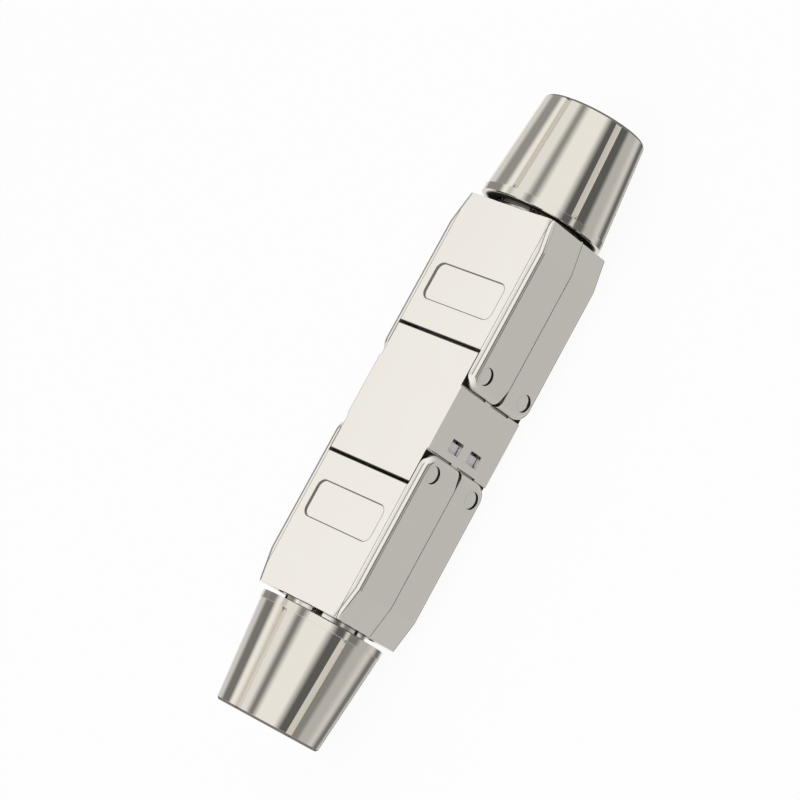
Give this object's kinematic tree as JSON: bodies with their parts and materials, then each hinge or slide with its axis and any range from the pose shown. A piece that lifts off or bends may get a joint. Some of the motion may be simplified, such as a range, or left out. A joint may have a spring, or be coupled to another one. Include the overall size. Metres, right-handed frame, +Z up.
{
  "type": "cable coupler",
  "caption": "Shielded inline coupler for twisted-pair cable: metal centre housing, hinged half-shell covers at both ends and tapered fluted nuts that clamp the cables.",
  "frame": {"origin": "on the cable axis, halfway between the two nut faces", "axes": "+X along the cables towards end a, +Y to the back, +Z up through the covers with the marking fields"},
  "size_m": [0.1, 0.02, 0.0194],
  "materials": {
    "casing": "satin nickel plating on die-cast zinc",
    "nut_metal": "bright nickel plating on die-cast zinc",
    "pin_steel": "plated steel",
    "contact_metal": "tinned phosphor bronze",
    "board": "glass-fibre board with solder mask",
    "carrier_plastic": "moulded plastic, grey",
    "block_plastic": "moulded plastic, natural white"
  },
  "bodies": {
    "coupler": {"centre_housing": "casing", "contact_carrier": "carrier_plastic", "circuit_board": "board", "cover_a_upper": "casing", "cover_a_lower": "casing", "cover_b_upper": "casing", "cover_b_lower": "casing", "terminal_block_a_upper": "block_plastic", "terminal_block_a_lower": "block_plastic", "terminal_block_b_upper": "block_plastic", "terminal_block_b_lower": "block_plastic", "wire_cap_a_upper": "block_plastic", "wire_cap_a_lower": "block_plastic", "wire_cap_b_upper": "block_plastic", "wire_cap_b_lower": "block_plastic", "wire_contacts_a_upper": "contact_metal", "wire_contacts_a_lower": "contact_metal", "wire_contacts_b_upper": "contact_metal", "wire_contacts_b_lower": "contact_metal", "hinge_pin_a_upper_front": "pin_steel", "hinge_pin_a_upper_back": "pin_steel", "hinge_pin_a_lower_front": "pin_steel", "hinge_pin_a_lower_back": "pin_steel", "hinge_pin_b_upper_front": "pin_steel", "hinge_pin_b_upper_back": "pin_steel", "hinge_pin_b_lower_front": "pin_steel", "hinge_pin_b_lower_back": "pin_steel"},
    "nut_a": {"cable_nut_a": "nut_metal"},
    "nut_b": {"cable_nut_b": "nut_metal"}
  },
  "joints": [
    {"name": "nut_a_unscrew", "type": "slide", "parent": "coupler", "child": "nut_a", "axis": [1, 0, 0], "range_m": [0, 0.012]},
    {"name": "nut_b_unscrew", "type": "slide", "parent": "coupler", "child": "nut_b", "axis": [-1, 0, 0], "range_m": [0, 0.012]}
  ]
}
